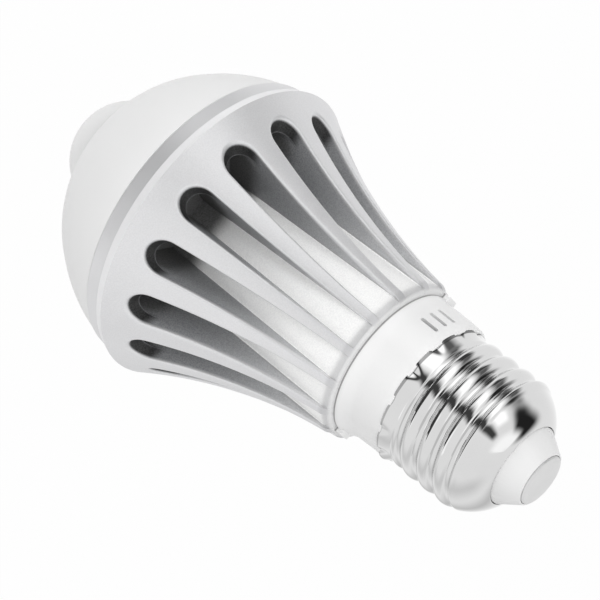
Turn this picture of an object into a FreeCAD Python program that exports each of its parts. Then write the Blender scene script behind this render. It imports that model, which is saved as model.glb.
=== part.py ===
import FreeCAD, Part
import math
import os
import re

import Sketcher
from FreeCAD import Placement, Rotation, Vector

# Motion sensor LED lamp with a medium screw cap.
# Every piece is drawn standing on the cap's centre contact. Its heights are measured from there,
# towards the dome. The finished pieces are turned over, because the lamp hangs from its holder:
# the cap is at the top, with the origin at the centre of its contact, and the dome points down.

SIZES = {
    # clearances between pieces that are put together
    "slip_fit": 0.15,
    "seat_gap": 0.1,
    # centre contact and its rivet
    "contact_radius": 4.8,
    "contact_thickness": 0.9,
    "contact_round": 0.35,
    "rivet_radius": 1.1,
    "rivet_length": 6.2,
    # insulator between the contact and the shell
    "insulator_rim_width": 0.15,
    "insulator_rim_height": 0.35,
    "insulator_foot_radius": 7.7,
    "insulator_flange_radius": 9.0,
    "insulator_flange_height": 1.4,
    # screw shell, rolled from thin sheet
    "shell_wall": 0.35,
    "shell_start": 4.25,
    "shell_dome_radius": 9.8,
    "thread_start": 9.2,
    "thread_pitch": 3.629,
    "thread_turns": 3.5,
    "thread_crest_radius": 13.15,
    "thread_root_radius": 12.1,
    "knuckle_radius": 1.05,
    "skirt_radius": 12.7,
    "skirt_start": 22.3,
    "skirt_length": 0.9,
    "shell_rim_radius": 13.5,
    "shell_rim_height": 24.6,
    # plastic housing: neck in the shell, collar in view, sleeve in the heat sink
    "neck_start": 10.0,
    "neck_bore": 10.3,
    "collar_start_radius": 13.25,
    "collar_step_height": 0.5,
    "collar_waist_radius": 13.5,
    "collar_bend_height": 5.6,
    "collar_bend_radius": 13.65,
    "collar_brow_curve": 7.0,
    "collar_radius": 14.3,
    "collar_length": 9.5,
    "collar_band": 0.7,
    "housing_floor": 1.8,
    "sleeve_wall": 1.35,
    "sleeve_end_gap": 3.5,
    "vent_count": 3,
    "vent_width": 0.7,
    "vent_length": 3.2,
    "vent_start": 27.0,
    "vent_round": 0.36,
    "vent_angle": 53.1,
    "vent_spacing": 9.5,
    "tab_width": 3.4,
    "tab_length": 1.0,
    "tab_drop": 1.4,
    "tab_reach": 14.95,
    # die-cast heat sink
    "core_radius": 15.4,
    "core_bore": 12.9,
    "core_foot_radius": 15.1,
    "core_foot_height": 0.5,
    "rib_foot_radius": 14.9,
    "rib_foot_height": 2.0,
    "rib_foot_curve": 2.4,
    "rib_start_radius": 16.15,
    "flare_curve": 107.0,
    "flare_radius": 29.7,
    "flare_height": 75.4,
    "bevel_top_inset": 0.15,
    "bevel_start": 0.4,
    "bevel_width": 0.65,
    "bevel_height": 1.4,
    "band_step": 0.15,
    "band_taper": 0.4,
    "band_height": 3.1,
    "slot_count": 15,
    "slot_plane_gap": 0.3,
    "slot_floor_plane": 13.6,
    "slot_draft": 7.2,
    "slot_tip_inset": 3.35,
    "slot_tip_width": 7.3,
    "slot_tip_flat": 2.3,
    "slot_tip_corner": 2.5,
    "slot_tip_curve": 2.6,
    "slot_foot_width": 8.8,
    "pocket_angle": 12.4,
    "pocket_depth": 9.0,
    "skin_start_inset": 7.8,
    "skin_end_inset": 3.5,
    "plate_drop": 0.8,
    "rim_wall": 1.2,
    "boss_count": 3,
    "boss_radius": 2.5,
    "boss_circle": 14.9,
    "boss_height": 5.0,
    # plate, pad and board for the light sources
    "plate_thickness": 1.8,
    "plate_lead_hole": 3.6,
    "led_lead_hole": 1.2,
    "led_lead_circle": 7.0,
    "pad_thickness": 0.3,
    "board_thickness": 1.4,
    "board_margin": 1.7,
    "board_hole": 9.0,
    "chip_count": 14,
    "chip_inset": 1.9,
    "chip_length": 5.6,
    "chip_width": 2.8,
    "chip_height": 0.8,
    "screw_radius": 1.25,
    "screw_length": 7.0,
    "screw_head_radius": 2.3,
    "screw_head_height": 1.7,
    "screw_head_round": 0.75,
    # opal diffuser and the sensor's lens
    "diffuser_wall": 1.4,
    "lip_inset": 0.25,
    "diffuser_skirt_wall": 1.4,
    "diffuser_side_curve": 31.5,
    "diffuser_side_inset": 4.85,
    "diffuser_side_rise": 11.7,
    "diffuser_crown_curve": 25.5,
    "diffuser_crown_radius": 13.9,
    "diffuser_crown_rise": 20.8,
    "diffuser_neck_curve": 2.6,
    "diffuser_neck_rise": 1.25,
    "lens_radius": 11.2,
    "lens_centre_drop": 0.9,
    "lens_wall": 0.8,
    "lens_flange_radius": 13.0,
    "lens_flange_height": 0.8,
    # sensor and what carries it
    "holder_base_radius": 5.8,
    "holder_base_height": 1.2,
    "holder_radius": 5.0,
    "holder_bore": 4.0,
    "holder_cup_radius": 10.1,
    "holder_cup_depth": 5.0,
    "sensor_board_drop": 4.7,
    "sensor_board_radius": 9.3,
    "sensor_board_thickness": 1.2,
    "holder_cup_ledge": 8.3,
    "can_flange_radius": 4.6,
    "can_flange_height": 0.5,
    "can_radius": 4.1,
    "can_height": 4.2,
    "can_window": 3.0,
    "window_height": 0.3,
    "photocell_radius": 1.9,
    "photocell_height": 1.8,
    "photocell_offset": 6.8,
    # driver: starts and lengths of its components are shares of its board's length
    "driver_plane": -3.6,
    "driver_thickness": 1.2,
    "driver_width": 20.0,
    "driver_start": 27.8,
    "driver_end_gap": 6.8,
    "capacitor_radius": 4.0,
    "capacitor_share": 0.3,
    "capacitor_x": -4.8,
    "capacitor_start": 0.68,
    "film_width": 4.5,
    "film_depth": 8.0,
    "film_share": 0.25,
    "film_x": 1.4,
    "film_start": 0.7175,
    "core_width": 13.0,
    "core_depth": 10.4,
    "core_share": 0.3,
    "core_start": 0.3175,
    "winding_radius": 4.7,
    "winding_overhang": 0.03,
    "bridge_width": 6.5,
    "bridge_depth": 2.6,
    "bridge_share": 0.2,
    "bridge_x": -8.2,
    "bridge_start": 0.0425,
    "choke_radius": 3.7,
    "choke_share": 0.2,
    "choke_x": 3.6,
    "choke_start": 0.0425,
    "chip_body_width": 4.0,
    "chip_body_depth": 1.6,
    "chip_body_share": 0.125,
    "chip_body_start": 0.43,
    "fuse_radius": 1.6,
    "fuse_length": 9.0,
    "fuse_start": 14.0,
    "lead_radius": 0.4,
    # wires
    "wire_radius": 0.5,
    "fuse_lead_start": 10.5,
    "neutral_x": 6.6,
    "neutral_drop": 8.9,
    "neutral_reach": 10.95,
    "sensor_lead_spacing": 1.4,
    "led_lead_x": 7.6,
    "led_lead_end": 10.8,
}

doc = FreeCAD.newDocument("MotionSensorLamp")
sheet = doc.addObject("Spreadsheet::Sheet", "Sizes")
for row, (alias, number) in enumerate(SIZES.items(), start=1):
    sheet.set(f"A{row}", alias)
    sheet.set(f"B{row}", str(number))
    sheet.setAlias(f"B{row}", alias)
doc.recompute()

# The share of the shorter straight run that a wire's bend takes.
BEND_SHARE = 0.45

UPSIDE_DOWN = Rotation(Vector(0, 1, 0), 180)
HUNG = Placement(Vector(0, 0, 0), UPSIDE_DOWN)


def value(expression):
    """The number that an expression in the sheet's aliases gives now."""
    return float(sheet.evalExpression(expression))


def bound(expression):
    """The same expression, as an object outside the sheet has to write it."""
    return re.sub(r"[a-z_]+", lambda word: f"Sizes.{word[0]}" if word[0] in SIZES else word[0], expression)


def arc_between(begin, end, radius, turn):
    """The short arc from begin to end. It curves left where turn is 1 and right where it is -1."""
    chord = end - begin
    rise = math.sqrt(max(radius ** 2 - (chord.Length / 2) ** 2, 0))
    across = Vector(-chord.y, chord.x, 0).normalize()
    centre = (begin + end) / 2 + across * rise * turn
    first, last = (begin, end) if turn > 0 else (end, begin)
    angles = [math.atan2(point.y - centre.y, point.x - centre.x) for point in (first, last)]
    return Part.ArcOfCircle(Part.Circle(centre, Vector(0, 0, 1), radius), *angles)


def fix(sketch, kind, places, expression, name):
    """Add one sized constraint and bind it to the sheet."""
    sketch.addConstraint(Sketcher.Constraint(kind, *places, value(expression)))
    sketch.renameConstraint(sketch.ConstraintCount - 1, name)
    sketch.setExpression(f"Constraints.{name}", bound(expression))


def draw(sketch, steps):
    """Draw a closed outline. A step is (x, y), or (x, y, radius, turn) where an arc leads there."""
    corners = [Vector(value(step[0]), value(step[1]), 0) for step in steps]
    ends = []
    for number, step in enumerate(steps):
        begin, end = corners[number - 1], corners[number]
        if len(step) == 2:
            edge, positions = Part.LineSegment(begin, end), (1, 2)
        else:
            edge = arc_between(begin, end, value(step[2]), step[3])
            positions = (1, 2) if step[3] > 0 else (2, 1)
        ends.append((sketch.addGeometry(edge, False), *positions))
    for number, step in enumerate(steps):
        edge, _, last = ends[number]
        following, first, _ = ends[(number + 1) % len(steps)]
        sketch.addConstraint(Sketcher.Constraint("Coincident", edge, last, following, first))
        for axis, kind, line in ((0, "DistanceX", -2), (1, "DistanceY", -1)):
            if step[axis] == "0":
                sketch.addConstraint(Sketcher.Constraint("PointOnObject", edge, last, line))
            else:
                fix(sketch, kind, (-1, 1, edge, last), step[axis], f"{'xy'[axis]}{number}")
        if len(step) == 4:
            fix(sketch, "Radius", (edge,), step[2], f"radius{number}")


def origin_part(body, role):
    """A plane or axis of the body's own origin."""
    return next(item for item in body.Origin.OriginFeatures if item.Role == role)


def new_body(label):
    body = doc.addObject("PartDesign::Body", label)
    body.Placement = HUNG
    return body


def new_sketch(body, name, plane="XZ_Plane", offset=None):
    """A sketch on one of the body's planes, moved along the plane's normal by an expression."""
    sketch = body.newObject("Sketcher::SketchObject", name)
    sketch.AttachmentSupport = (origin_part(body, plane), [""])
    sketch.MapMode = "FlatFace"
    if offset:
        sketch.setExpression("AttachmentOffset.Base.z", bound(offset))
    return sketch


def turn_profile(body, name, steps, kind="Revolution"):
    """Revolve a closed outline of radii and heights round the lamp's axis."""
    sketch = new_sketch(body, f"{body.Label}_{name}_sketch")
    draw(sketch, steps)
    feature = body.newObject(f"PartDesign::{kind}", f"{body.Label}_{name}")
    feature.Profile = sketch
    feature.ReferenceAxis = (sketch, ["V_Axis"])
    feature.Angle = 360
    doc.recompute()
    return feature


def turned(label, steps):
    """A piece that is one revolved outline."""
    body = new_body(label)
    turn_profile(body, "profile", steps)
    return body


def extrude(body, name, sketch, kind, length, **settings):
    """Pad or pocket a sketch by a bound length."""
    feature = body.newObject(f"PartDesign::{kind}", f"{body.Label}_{name}")
    feature.Profile = sketch
    feature.setExpression("Length", bound(length))
    for key, setting in settings.items():
        setattr(feature, key, setting)
    doc.recompute()
    return feature


def repeat(body, name, features, count, angle="360", mode="Extent"):
    """Repeat features round the lamp's axis."""
    pattern = body.newObject("PartDesign::PolarPattern", f"{body.Label}_{name}")
    pattern.Originals = features
    pattern.Axis = (origin_part(body, "Z_Axis"), [""])
    pattern.Mode = mode
    pattern.setExpression("Angle" if mode == "Extent" else "Offset", bound(angle))
    pattern.setExpression("Occurrences", bound(count))
    body.Tip = pattern
    doc.recompute()
    return pattern


def circle(sketch, x, y, radius, name):
    """A bound circle in a sketch."""
    centre = Vector(value(x), value(y), 0)
    edge = sketch.addGeometry(Part.Circle(centre, Vector(0, 0, 1), value(radius)), False)
    fix(sketch, "Radius", (edge,), radius, f"{name}_radius")
    for expression, kind, line in ((x, "DistanceX", -2), (y, "DistanceY", -1)):
        if expression == "0":
            sketch.addConstraint(Sketcher.Constraint("PointOnObject", edge, 3, line))
        else:
            fix(sketch, kind, (-1, 1, edge, 3), expression, f"{name}_{kind[-1].lower()}")


def primitive(kind, label, sizes, place):
    """A Part primitive whose sizes and lowest corner or centre are bound to the sheet."""
    piece = doc.addObject(f"Part::{kind}", label)
    for name, expression in sizes.items():
        piece.setExpression(name, bound(expression))
    piece.Placement = HUNG
    x, y, height = place
    piece.setExpression("Placement.Base.x", bound(f"-({x})"))
    piece.setExpression("Placement.Base.y", bound(y))
    piece.setExpression("Placement.Base.z", bound(f"-({height})"))
    return piece


def block(label, width, depth, length, place):
    return primitive("Box", label, {"Length": width, "Width": depth, "Height": length}, place)


def rod(label, radius, length, place):
    return primitive("Cylinder", label, {"Radius": radius, "Height": length}, place)


def feature_from(label, shapes):
    """A group of like solids, or one solid, made from shapes drawn in the standing lamp."""
    piece = doc.addObject("Part::Feature", label)
    piece.Shape = shapes[0] if len(shapes) == 1 else Part.makeCompound(shapes)
    piece.Placement = HUNG
    return piece


def round_axis(shape, count, start=0.0):
    """Copies of a shape at even angles round the lamp's axis."""
    axis = Vector(0, 0, 1)
    return [shape.rotated(Vector(0, 0, 0), axis, start + 360.0 * copy / count) for copy in range(count)]


def tube(points, radius):
    """A wire along straight runs that are joined by tangent arcs."""
    edges = []
    start = points[0]
    for before, corner, after in zip(points, points[1:], points[2:]):
        inward, outward = (before - corner), (after - corner)
        trim = BEND_SHARE * min(inward.Length, outward.Length)
        inward.normalize()
        outward.normalize()
        arc_start, arc_end = corner + inward * trim, corner + outward * trim
        half_turn = (math.pi - inward.getAngle(outward)) / 2
        bisector = (inward + outward).normalize()
        to_centre = trim * math.tan(half_turn) ** -1 / math.cos(half_turn)
        arc_middle = corner + bisector * (to_centre - trim / math.tan(half_turn))
        edges.append(Part.LineSegment(start, arc_start).toShape())
        edges.append(Part.Arc(arc_start, arc_middle, arc_end).toShape())
        start = arc_end
    edges.append(Part.LineSegment(start, points[-1]).toShape())
    path = Part.Wire(edges)
    section = Part.Wire(Part.makeCircle(radius, points[0], points[1] - points[0]))
    return path.makePipeShell([section], True, False)


# Heights that several pieces share.
COLLAR_START = "shell_rim_height"
COLLAR_END = f"{COLLAR_START} + collar_length"
SINK_START = COLLAR_END
PLATE_SEAT = "(flare_height - plate_drop)"
PLATE_TOP = f"{PLATE_SEAT} + plate_thickness"
BOARD_SEAT = f"{PLATE_TOP} + pad_thickness"
BOARD_TOP = f"{BOARD_SEAT} + board_thickness"
BAND_TOP = "flare_height + bevel_start + bevel_height + band_height"
SIDE_HEIGHT = f"({BAND_TOP} + diffuser_side_rise)"
CROWN_HEIGHT = f"({BAND_TOP} + diffuser_crown_rise)"
LENS_CENTRE = f"({CROWN_HEIGHT} - lens_centre_drop)"
SENSOR_BOARD = f"({LENS_CENTRE} - sensor_board_drop)"
SENSOR_TOP = f"{SENSOR_BOARD} + sensor_board_thickness"
CUP_START = f"({SENSOR_BOARD} - holder_cup_depth)"
DRIVER_END = f"({PLATE_SEAT} - driver_end_gap)"
DRIVER_LENGTH = f"({DRIVER_END} - driver_start)"

# Radii that follow the head's largest one.
SLOT_PLANE = "(flare_radius + slot_plane_gap)"
BEVEL_RADIUS = "(flare_radius - bevel_width)"
BAND_RADIUS = f"({BEVEL_RADIUS} - band_step - band_taper)"
HEAD_BORE = f"({BAND_RADIUS} - rim_wall)"
BOARD_RADIUS = f"({HEAD_BORE} - board_margin)"
LIP_RADIUS = f"({BAND_RADIUS} - lip_inset)"
SIDE_RADIUS = f"({LIP_RADIUS} - diffuser_side_inset)"

# The first boss stands on the rib that is half a slot round from the first slot.
BOSS_TURN = "(180 / slot_count - 90) * 1deg"
BOSS_X = f"boss_circle * cos({BOSS_TURN})"
BOSS_Y = f"boss_circle * sin({BOSS_TURN})"


def make_centre_contact():
    """The contact disc and the rivet that holds it in the insulator."""
    turned("centre_contact", [
        ("0", "0"),
        ("contact_radius - contact_round", "0"),
        ("contact_radius", "contact_round", "contact_round", 1),
        ("contact_radius", "contact_thickness"),
        ("rivet_radius", "contact_thickness"),
        ("rivet_radius", "rivet_length"),
        ("0", "rivet_length"),
    ])


def make_cap_insulator():
    """The cone between contact and shell, with the flange that the shell closes on."""
    seat = "shell_start + shell_wall + 2 * seat_gap"
    top = f"{seat} + insulator_flange_height + seat_gap"
    turned("cap_insulator", [
        ("rivet_radius + seat_gap", "contact_thickness"),
        ("contact_radius + seat_gap", "contact_thickness"),
        ("contact_radius + seat_gap", "insulator_rim_height"),
        ("contact_radius + seat_gap + insulator_rim_width", "insulator_rim_height"),
        ("insulator_foot_radius", "shell_start"),
        ("insulator_foot_radius", f"{seat} + insulator_flange_height / 2"),
        ("insulator_flange_radius", f"{seat} + insulator_flange_height"),
        ("insulator_flange_radius", top),
        ("rivet_radius + seat_gap", top),
    ])


def make_screw_shell():
    """The rolled shell: closed dome end, knuckle thread, plain skirt and flared rim."""
    middle = "(thread_crest_radius + thread_root_radius) / 2"
    turns = int(round(2 * value("thread_turns")))
    outside = [
        ("insulator_foot_radius + slip_fit", "shell_start"),
        (middle, "thread_start", "shell_dome_radius", 1),
    ]
    for half in range(1, turns + 1):
        height = f"thread_start + thread_pitch * {half} / 2"
        outside.append((middle, height, "knuckle_radius", 1 if half % 2 else -1))
    outside += [
        ("skirt_radius", "skirt_start"),
        ("skirt_radius", "skirt_start + skirt_length"),
        ("shell_rim_radius", "shell_rim_height"),
    ]
    inside = [
        ("shell_rim_radius - shell_wall", "shell_rim_height"),
        ("skirt_radius - shell_wall", "skirt_start + skirt_length"),
        ("skirt_radius - shell_wall", "skirt_start"),
        ("thread_root_radius - shell_wall", "skirt_start - skirt_length / 2"),
        ("thread_root_radius - shell_wall", "thread_start"),
        ("insulator_foot_radius + slip_fit", "shell_start + shell_wall", "shell_dome_radius", -1),
    ]
    turned("screw_shell", outside + inside)


def make_driver_housing():
    """One moulding: neck inside the shell, collar in view and sleeve inside the heat sink."""
    neck_radius = "thread_root_radius - shell_wall - slip_fit"
    neck_step = "skirt_start + slip_fit"
    sleeve_radius = "core_bore - slip_fit"
    body = new_body("driver_housing")
    turn_profile(body, "profile", [
        ("neck_bore", "neck_start"),
        (neck_radius, "neck_start"),
        (neck_radius, neck_step),
        ("skirt_radius - shell_wall - slip_fit", neck_step),
        ("skirt_radius - shell_wall - slip_fit", COLLAR_START),
        ("collar_start_radius", COLLAR_START),
        ("collar_waist_radius", f"{COLLAR_START} + collar_step_height"),
        ("collar_bend_radius", f"{COLLAR_START} + collar_bend_height"),
        ("collar_radius", f"{COLLAR_END} - collar_band", "collar_brow_curve", -1),
        ("collar_radius", COLLAR_END),
        (sleeve_radius, COLLAR_END),
        (sleeve_radius, f"{PLATE_SEAT} - sleeve_end_gap"),
        (f"{sleeve_radius} - sleeve_wall", f"{PLATE_SEAT} - sleeve_end_gap"),
        (f"{sleeve_radius} - sleeve_wall", f"{COLLAR_START} + housing_floor"),
        ("neck_bore", COLLAR_START),
    ])
    add_snap_tabs(body)
    cut_vents(body)


def add_snap_tabs(body):
    """Two small tabs that stand proud of the collar and key it into the heat sink's foot."""
    sketch = new_sketch(body, "driver_housing_tab_sketch", "XY_Plane", f"{COLLAR_END} - tab_drop")
    inner = "core_bore - slip_fit - sleeve_wall / 2"
    draw(sketch, [
        (inner, "-tab_width / 2"),
        ("tab_reach", "-tab_width / 2"),
        ("tab_reach", "tab_width / 2"),
        (inner, "tab_width / 2"),
    ])
    tab = extrude(body, "tab", sketch, "Pad", "tab_drop + tab_length")
    repeat(body, "tabs", [tab], "2")


def cut_vents(body):
    """Narrow vents side by side through the collar's wall."""
    sketch = new_sketch(body, "driver_housing_vent_sketch", "YZ_Plane")
    sketch.AttachmentOffset = Placement(Vector(0, 0, 0), Rotation(Vector(0, -1, 0), value("vent_angle")))
    sketch.setExpression("AttachmentOffset.Rotation.Angle", bound("vent_angle"))
    draw(sketch, [
        ("-vent_width / 2", "vent_start"),
        ("vent_width / 2", "vent_start", "vent_round", 1),
        ("vent_width / 2", "vent_start + vent_length"),
        ("-vent_width / 2", "vent_start + vent_length", "vent_round", 1),
    ])
    vent = extrude(body, "vent", sketch, "Pocket", "collar_radius", Reversed=True)
    repeat(body, "vents", [vent], "vent_count", "vent_spacing", "Spacing")


def make_heat_sink():
    """One casting: round core, straight ribs between deep slots, flared skin and turned rim band."""
    body = new_body("heat_sink")
    turn_profile(body, "envelope", [
        ("0", SINK_START),
        ("rib_foot_radius", SINK_START),
        ("rib_start_radius", f"{SINK_START} + rib_foot_height", "rib_foot_curve", 1),
        ("flare_radius", "flare_height", "flare_curve", -1),
        ("flare_radius - bevel_top_inset", "flare_height + bevel_start"),
        (BEVEL_RADIUS, "flare_height + bevel_start + bevel_height"),
        (f"{BEVEL_RADIUS} - band_step", "flare_height + bevel_start + bevel_height"),
        (BAND_RADIUS, BAND_TOP),
        ("0", BAND_TOP),
    ])
    slot = cut_slot(body)
    pocket = cut_pocket(body)
    repeat(body, "slots", [slot, pocket], "slot_count")
    turn_profile(body, "core", [
        ("core_bore", SINK_START),
        ("core_foot_radius", SINK_START),
        ("core_radius", f"{SINK_START} + core_foot_height"),
        ("core_radius", PLATE_SEAT),
        ("core_bore", PLATE_SEAT),
    ])
    add_bosses(body)
    turn_profile(body, "bore", [
        ("0", SINK_START),
        ("core_bore", SINK_START),
        ("core_bore", PLATE_SEAT),
        (HEAD_BORE, PLATE_SEAT),
        (HEAD_BORE, BAND_TOP),
        ("0", BAND_TOP),
    ], "Groove")
    cut_screw_holes(body)
    cut_tab_notches(body)


def cut_slot(body):
    """A tapered slot with a round tip. Its drafted walls point at the lamp's axis."""
    sketch = new_sketch(body, "heat_sink_slot_sketch", "XZ_Plane", SLOT_PLANE)
    below = f"{SINK_START} - {SLOT_PLANE} * tan(slot_draft * 1deg)"
    tip = "flare_height - slot_tip_inset"
    draw(sketch, [
        ("-slot_foot_width / 2", below),
        ("slot_foot_width / 2", below),
        ("slot_tip_width / 2", f"{tip} - slot_tip_corner"),
        ("slot_tip_flat / 2", tip, "slot_tip_curve", 1),
        ("-slot_tip_flat / 2", tip),
        ("-slot_tip_width / 2", f"{tip} - slot_tip_corner", "slot_tip_curve", 1),
    ])
    slot = extrude(body, "slot", sketch, "Pocket", f"{SLOT_PLANE} - slot_floor_plane")
    slot.setExpression("TaperAngle", bound("-slot_draft"))
    doc.recompute()
    return slot


def cut_pocket(body):
    """The space behind the skin above a slot's tip, cast from the head side and open to the plate."""
    sketch = new_sketch(body, "heat_sink_pocket_sketch", "XZ_Plane")
    sketch.AttachmentOffset = Placement(Vector(0, 0, 0), Rotation(Vector(0, 1, 0), -90))
    draw(sketch, [
        ("slot_floor_plane", f"{PLATE_SEAT} - pocket_depth"),
        ("flare_radius - skin_start_inset", f"{PLATE_SEAT} - pocket_depth"),
        ("flare_radius - skin_end_inset", PLATE_SEAT),
        ("slot_floor_plane", PLATE_SEAT),
    ])
    pocket = body.newObject("PartDesign::Groove", "heat_sink_pocket")
    pocket.Profile = sketch
    pocket.ReferenceAxis = (sketch, ["V_Axis"])
    pocket.Midplane = True
    pocket.setExpression("Angle", bound("pocket_angle"))
    doc.recompute()
    return pocket


def add_bosses(body):
    """Bosses at the top of three ribs for the screws that hold plate and board."""
    sketch = new_sketch(body, "heat_sink_boss_sketch", "XY_Plane", f"{PLATE_SEAT} - boss_height")
    circle(sketch, BOSS_X, BOSS_Y, "boss_radius", "boss")
    boss = extrude(body, "boss", sketch, "Pad", "boss_height")
    repeat(body, "bosses", [boss], "boss_count")


def cut_screw_holes(body):
    """A threaded hole down each boss, drilled to the screw's core."""
    sketch = new_sketch(body, "heat_sink_hole_sketch", "XY_Plane", f"{PLATE_SEAT} - boss_height + screw_radius")
    circle(sketch, BOSS_X, BOSS_Y, "screw_radius + slip_fit / 2", "hole")
    hole = extrude(body, "hole", sketch, "Pocket", "boss_height", Reversed=True)
    repeat(body, "holes", [hole], "boss_count")


def cut_tab_notches(body):
    """Two notches in the foot for the housing's tabs."""
    sketch = new_sketch(body, "heat_sink_notch_sketch", "XY_Plane", SINK_START)
    side = "(tab_width / 2 + slip_fit)"
    draw(sketch, [
        ("core_bore - slip_fit", f"-{side}"),
        ("tab_reach + slip_fit", f"-{side}"),
        ("tab_reach + slip_fit", side),
        ("core_bore - slip_fit", side),
    ])
    notch = extrude(body, "notch", sketch, "Pocket", "tab_length + slip_fit", Reversed=True)
    repeat(body, "notches", [notch], "2")


def make_led_plate():
    """The aluminium disc that closes the casting and carries the board."""
    body = new_body("led_plate")
    turn_profile(body, "profile", [
        ("plate_lead_hole", PLATE_SEAT),
        (f"{HEAD_BORE} - slip_fit", PLATE_SEAT),
        (f"{HEAD_BORE} - slip_fit", PLATE_TOP),
        ("plate_lead_hole", PLATE_TOP),
    ])
    sketch = new_sketch(body, "led_plate_lead_sketch", "XY_Plane", PLATE_SEAT)
    circle(sketch, "led_lead_circle", "0", "led_lead_hole", "lead")
    lead_hole = extrude(body, "lead_hole", sketch, "Pocket", "plate_thickness", Reversed=True)
    repeat(body, "lead_holes", [lead_hole], "2")
    drill_for_screws(body, PLATE_SEAT, "plate_thickness")


def drill_for_screws(body, seat, thickness):
    """Clearance holes for the board screws."""
    sketch = new_sketch(body, f"{body.Label}_screw_sketch", "XY_Plane", seat)
    circle(sketch, BOSS_X, BOSS_Y, "screw_radius + slip_fit", "screw")
    hole = extrude(body, "screw_hole", sketch, "Pocket", thickness, Reversed=True)
    repeat(body, "screw_holes", [hole], "boss_count")


def make_board_layers():
    """The soft pad on the plate and the aluminium circuit board on the pad."""
    for label, seat, thickness in (
        ("thermal_pad", PLATE_TOP, "pad_thickness"),
        ("led_board", BOARD_SEAT, "board_thickness"),
    ):
        body = new_body(label)
        turn_profile(body, "profile", [
            ("board_hole", seat),
            (BOARD_RADIUS, seat),
            (BOARD_RADIUS, f"{seat} + {thickness}"),
            ("board_hole", f"{seat} + {thickness}"),
        ])
        drill_for_screws(body, seat, thickness)


def make_led_chips():
    """The ring of light sources, soldered flat on the board."""
    length, width = value("chip_length"), value("chip_width")
    corner = Vector(-length / 2, value(f"{BOARD_RADIUS} - chip_inset") - width / 2, value(BOARD_TOP))
    chip = Part.makeBox(length, width, value("chip_height"), corner)
    feature_from("led_chips", round_axis(chip, int(value("chip_count"))))


def make_board_screws():
    """The pan-head screws through board and plate into the bosses."""
    radius, length = value("screw_radius"), value("screw_length")
    head_radius, head_height = value("screw_head_radius"), value("screw_head_height")
    place = Vector(value(BOSS_X), value(BOSS_Y), value(BOARD_TOP))
    head = Part.makeCylinder(head_radius, head_height, place)
    head = head.makeFillet(value("screw_head_round"), [head.Edges[0]])
    shank = Part.makeCylinder(radius, length, place - Vector(0, 0, length))
    screw = head.fuse(shank)
    feature_from("board_screws", round_axis(screw, int(value("boss_count"))))


def make_diffuser():
    """The opal dome, blown in one piece with the skirt that sits inside the rim band."""
    wall = "diffuser_wall"
    skirt = f"{HEAD_BORE} - slip_fit"
    turned("diffuser", [
        (f"{skirt} - diffuser_skirt_wall", PLATE_TOP),
        (skirt, PLATE_TOP),
        (skirt, f"{BAND_TOP} + seat_gap"),
        (LIP_RADIUS, f"{BAND_TOP} + seat_gap"),
        (SIDE_RADIUS, SIDE_HEIGHT, "diffuser_side_curve", 1),
        ("diffuser_crown_radius", CROWN_HEIGHT, "diffuser_crown_curve", 1),
        ("lens_radius + slip_fit", f"{CROWN_HEIGHT} + diffuser_neck_rise", "diffuser_neck_curve", -1),
        ("lens_radius + slip_fit", f"{CROWN_HEIGHT} - {wall}"),
        ("lens_flange_radius + slip_fit", f"{CROWN_HEIGHT} - {wall}"),
        (f"{SIDE_RADIUS} - {wall}", f"{SIDE_HEIGHT} - {wall} / 2",
         f"diffuser_crown_curve - {wall}", -1),
        (f"{skirt} - diffuser_skirt_wall", f"{BAND_TOP} + {wall}", f"diffuser_side_curve - {wall}", -1),
    ])


def make_pir_lens():
    """The milky lens over the sensor, clipped behind the diffuser's neck."""
    inner = "(lens_radius - lens_wall)"
    seat = f"{CROWN_HEIGHT} - diffuser_wall"
    turned("pir_lens", [
        (inner, f"{seat} - lens_flange_height"),
        ("lens_flange_radius", f"{seat} - lens_flange_height"),
        ("lens_flange_radius", seat),
        ("lens_radius", seat),
        ("lens_radius", LENS_CENTRE),
        ("0", f"{LENS_CENTRE} + lens_radius", "lens_radius", 1),
        ("0", f"{LENS_CENTRE} + {inner}"),
        (inner, LENS_CENTRE, inner, -1),
    ])


def make_sensor_holder():
    """The white stalk that stands on the plate and carries the sensor board in its cup."""
    turned("sensor_holder", [
        ("holder_bore", PLATE_TOP),
        ("holder_base_radius", PLATE_TOP),
        ("holder_base_radius", f"{PLATE_TOP} + holder_base_height"),
        ("holder_radius", f"{PLATE_TOP} + 2 * holder_base_height"),
        ("holder_radius", CUP_START),
        ("holder_cup_radius", f"{SENSOR_BOARD} - sensor_board_thickness"),
        ("holder_cup_radius", SENSOR_TOP),
        ("sensor_board_radius + slip_fit", SENSOR_TOP),
        ("sensor_board_radius + slip_fit", SENSOR_BOARD),
        ("holder_cup_ledge", SENSOR_BOARD),
        ("holder_cup_ledge", f"{SENSOR_BOARD} - sensor_board_thickness"),
        ("holder_bore", CUP_START),
    ])


def make_sensor_parts():
    """The sensor board with the motion sensor, its window and the photocell."""
    rod("sensor_board", "sensor_board_radius", "sensor_board_thickness", ("0", "0", SENSOR_BOARD))
    turned("pir_sensor", [
        ("0", SENSOR_TOP),
        ("can_flange_radius", SENSOR_TOP),
        ("can_flange_radius", f"{SENSOR_TOP} + can_flange_height"),
        ("can_radius", f"{SENSOR_TOP} + can_flange_height"),
        ("can_radius", f"{SENSOR_TOP} + can_height"),
        ("0", f"{SENSOR_TOP} + can_height"),
    ])
    half = "-can_window / 2"
    block("pir_window", "can_window", "can_window", "window_height",
          (half, half, f"{SENSOR_TOP} + can_height"))
    rod("light_sensor", "photocell_radius", "photocell_height", ("photocell_offset", "0", SENSOR_TOP))


def along_driver(start):
    """The height at a share of the driver board's length."""
    return f"driver_start + {DRIVER_LENGTH} * ({start})"


def driver_part(share):
    """The length that is a share of the driver board's length."""
    return f"{DRIVER_LENGTH} * ({share})"


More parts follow.
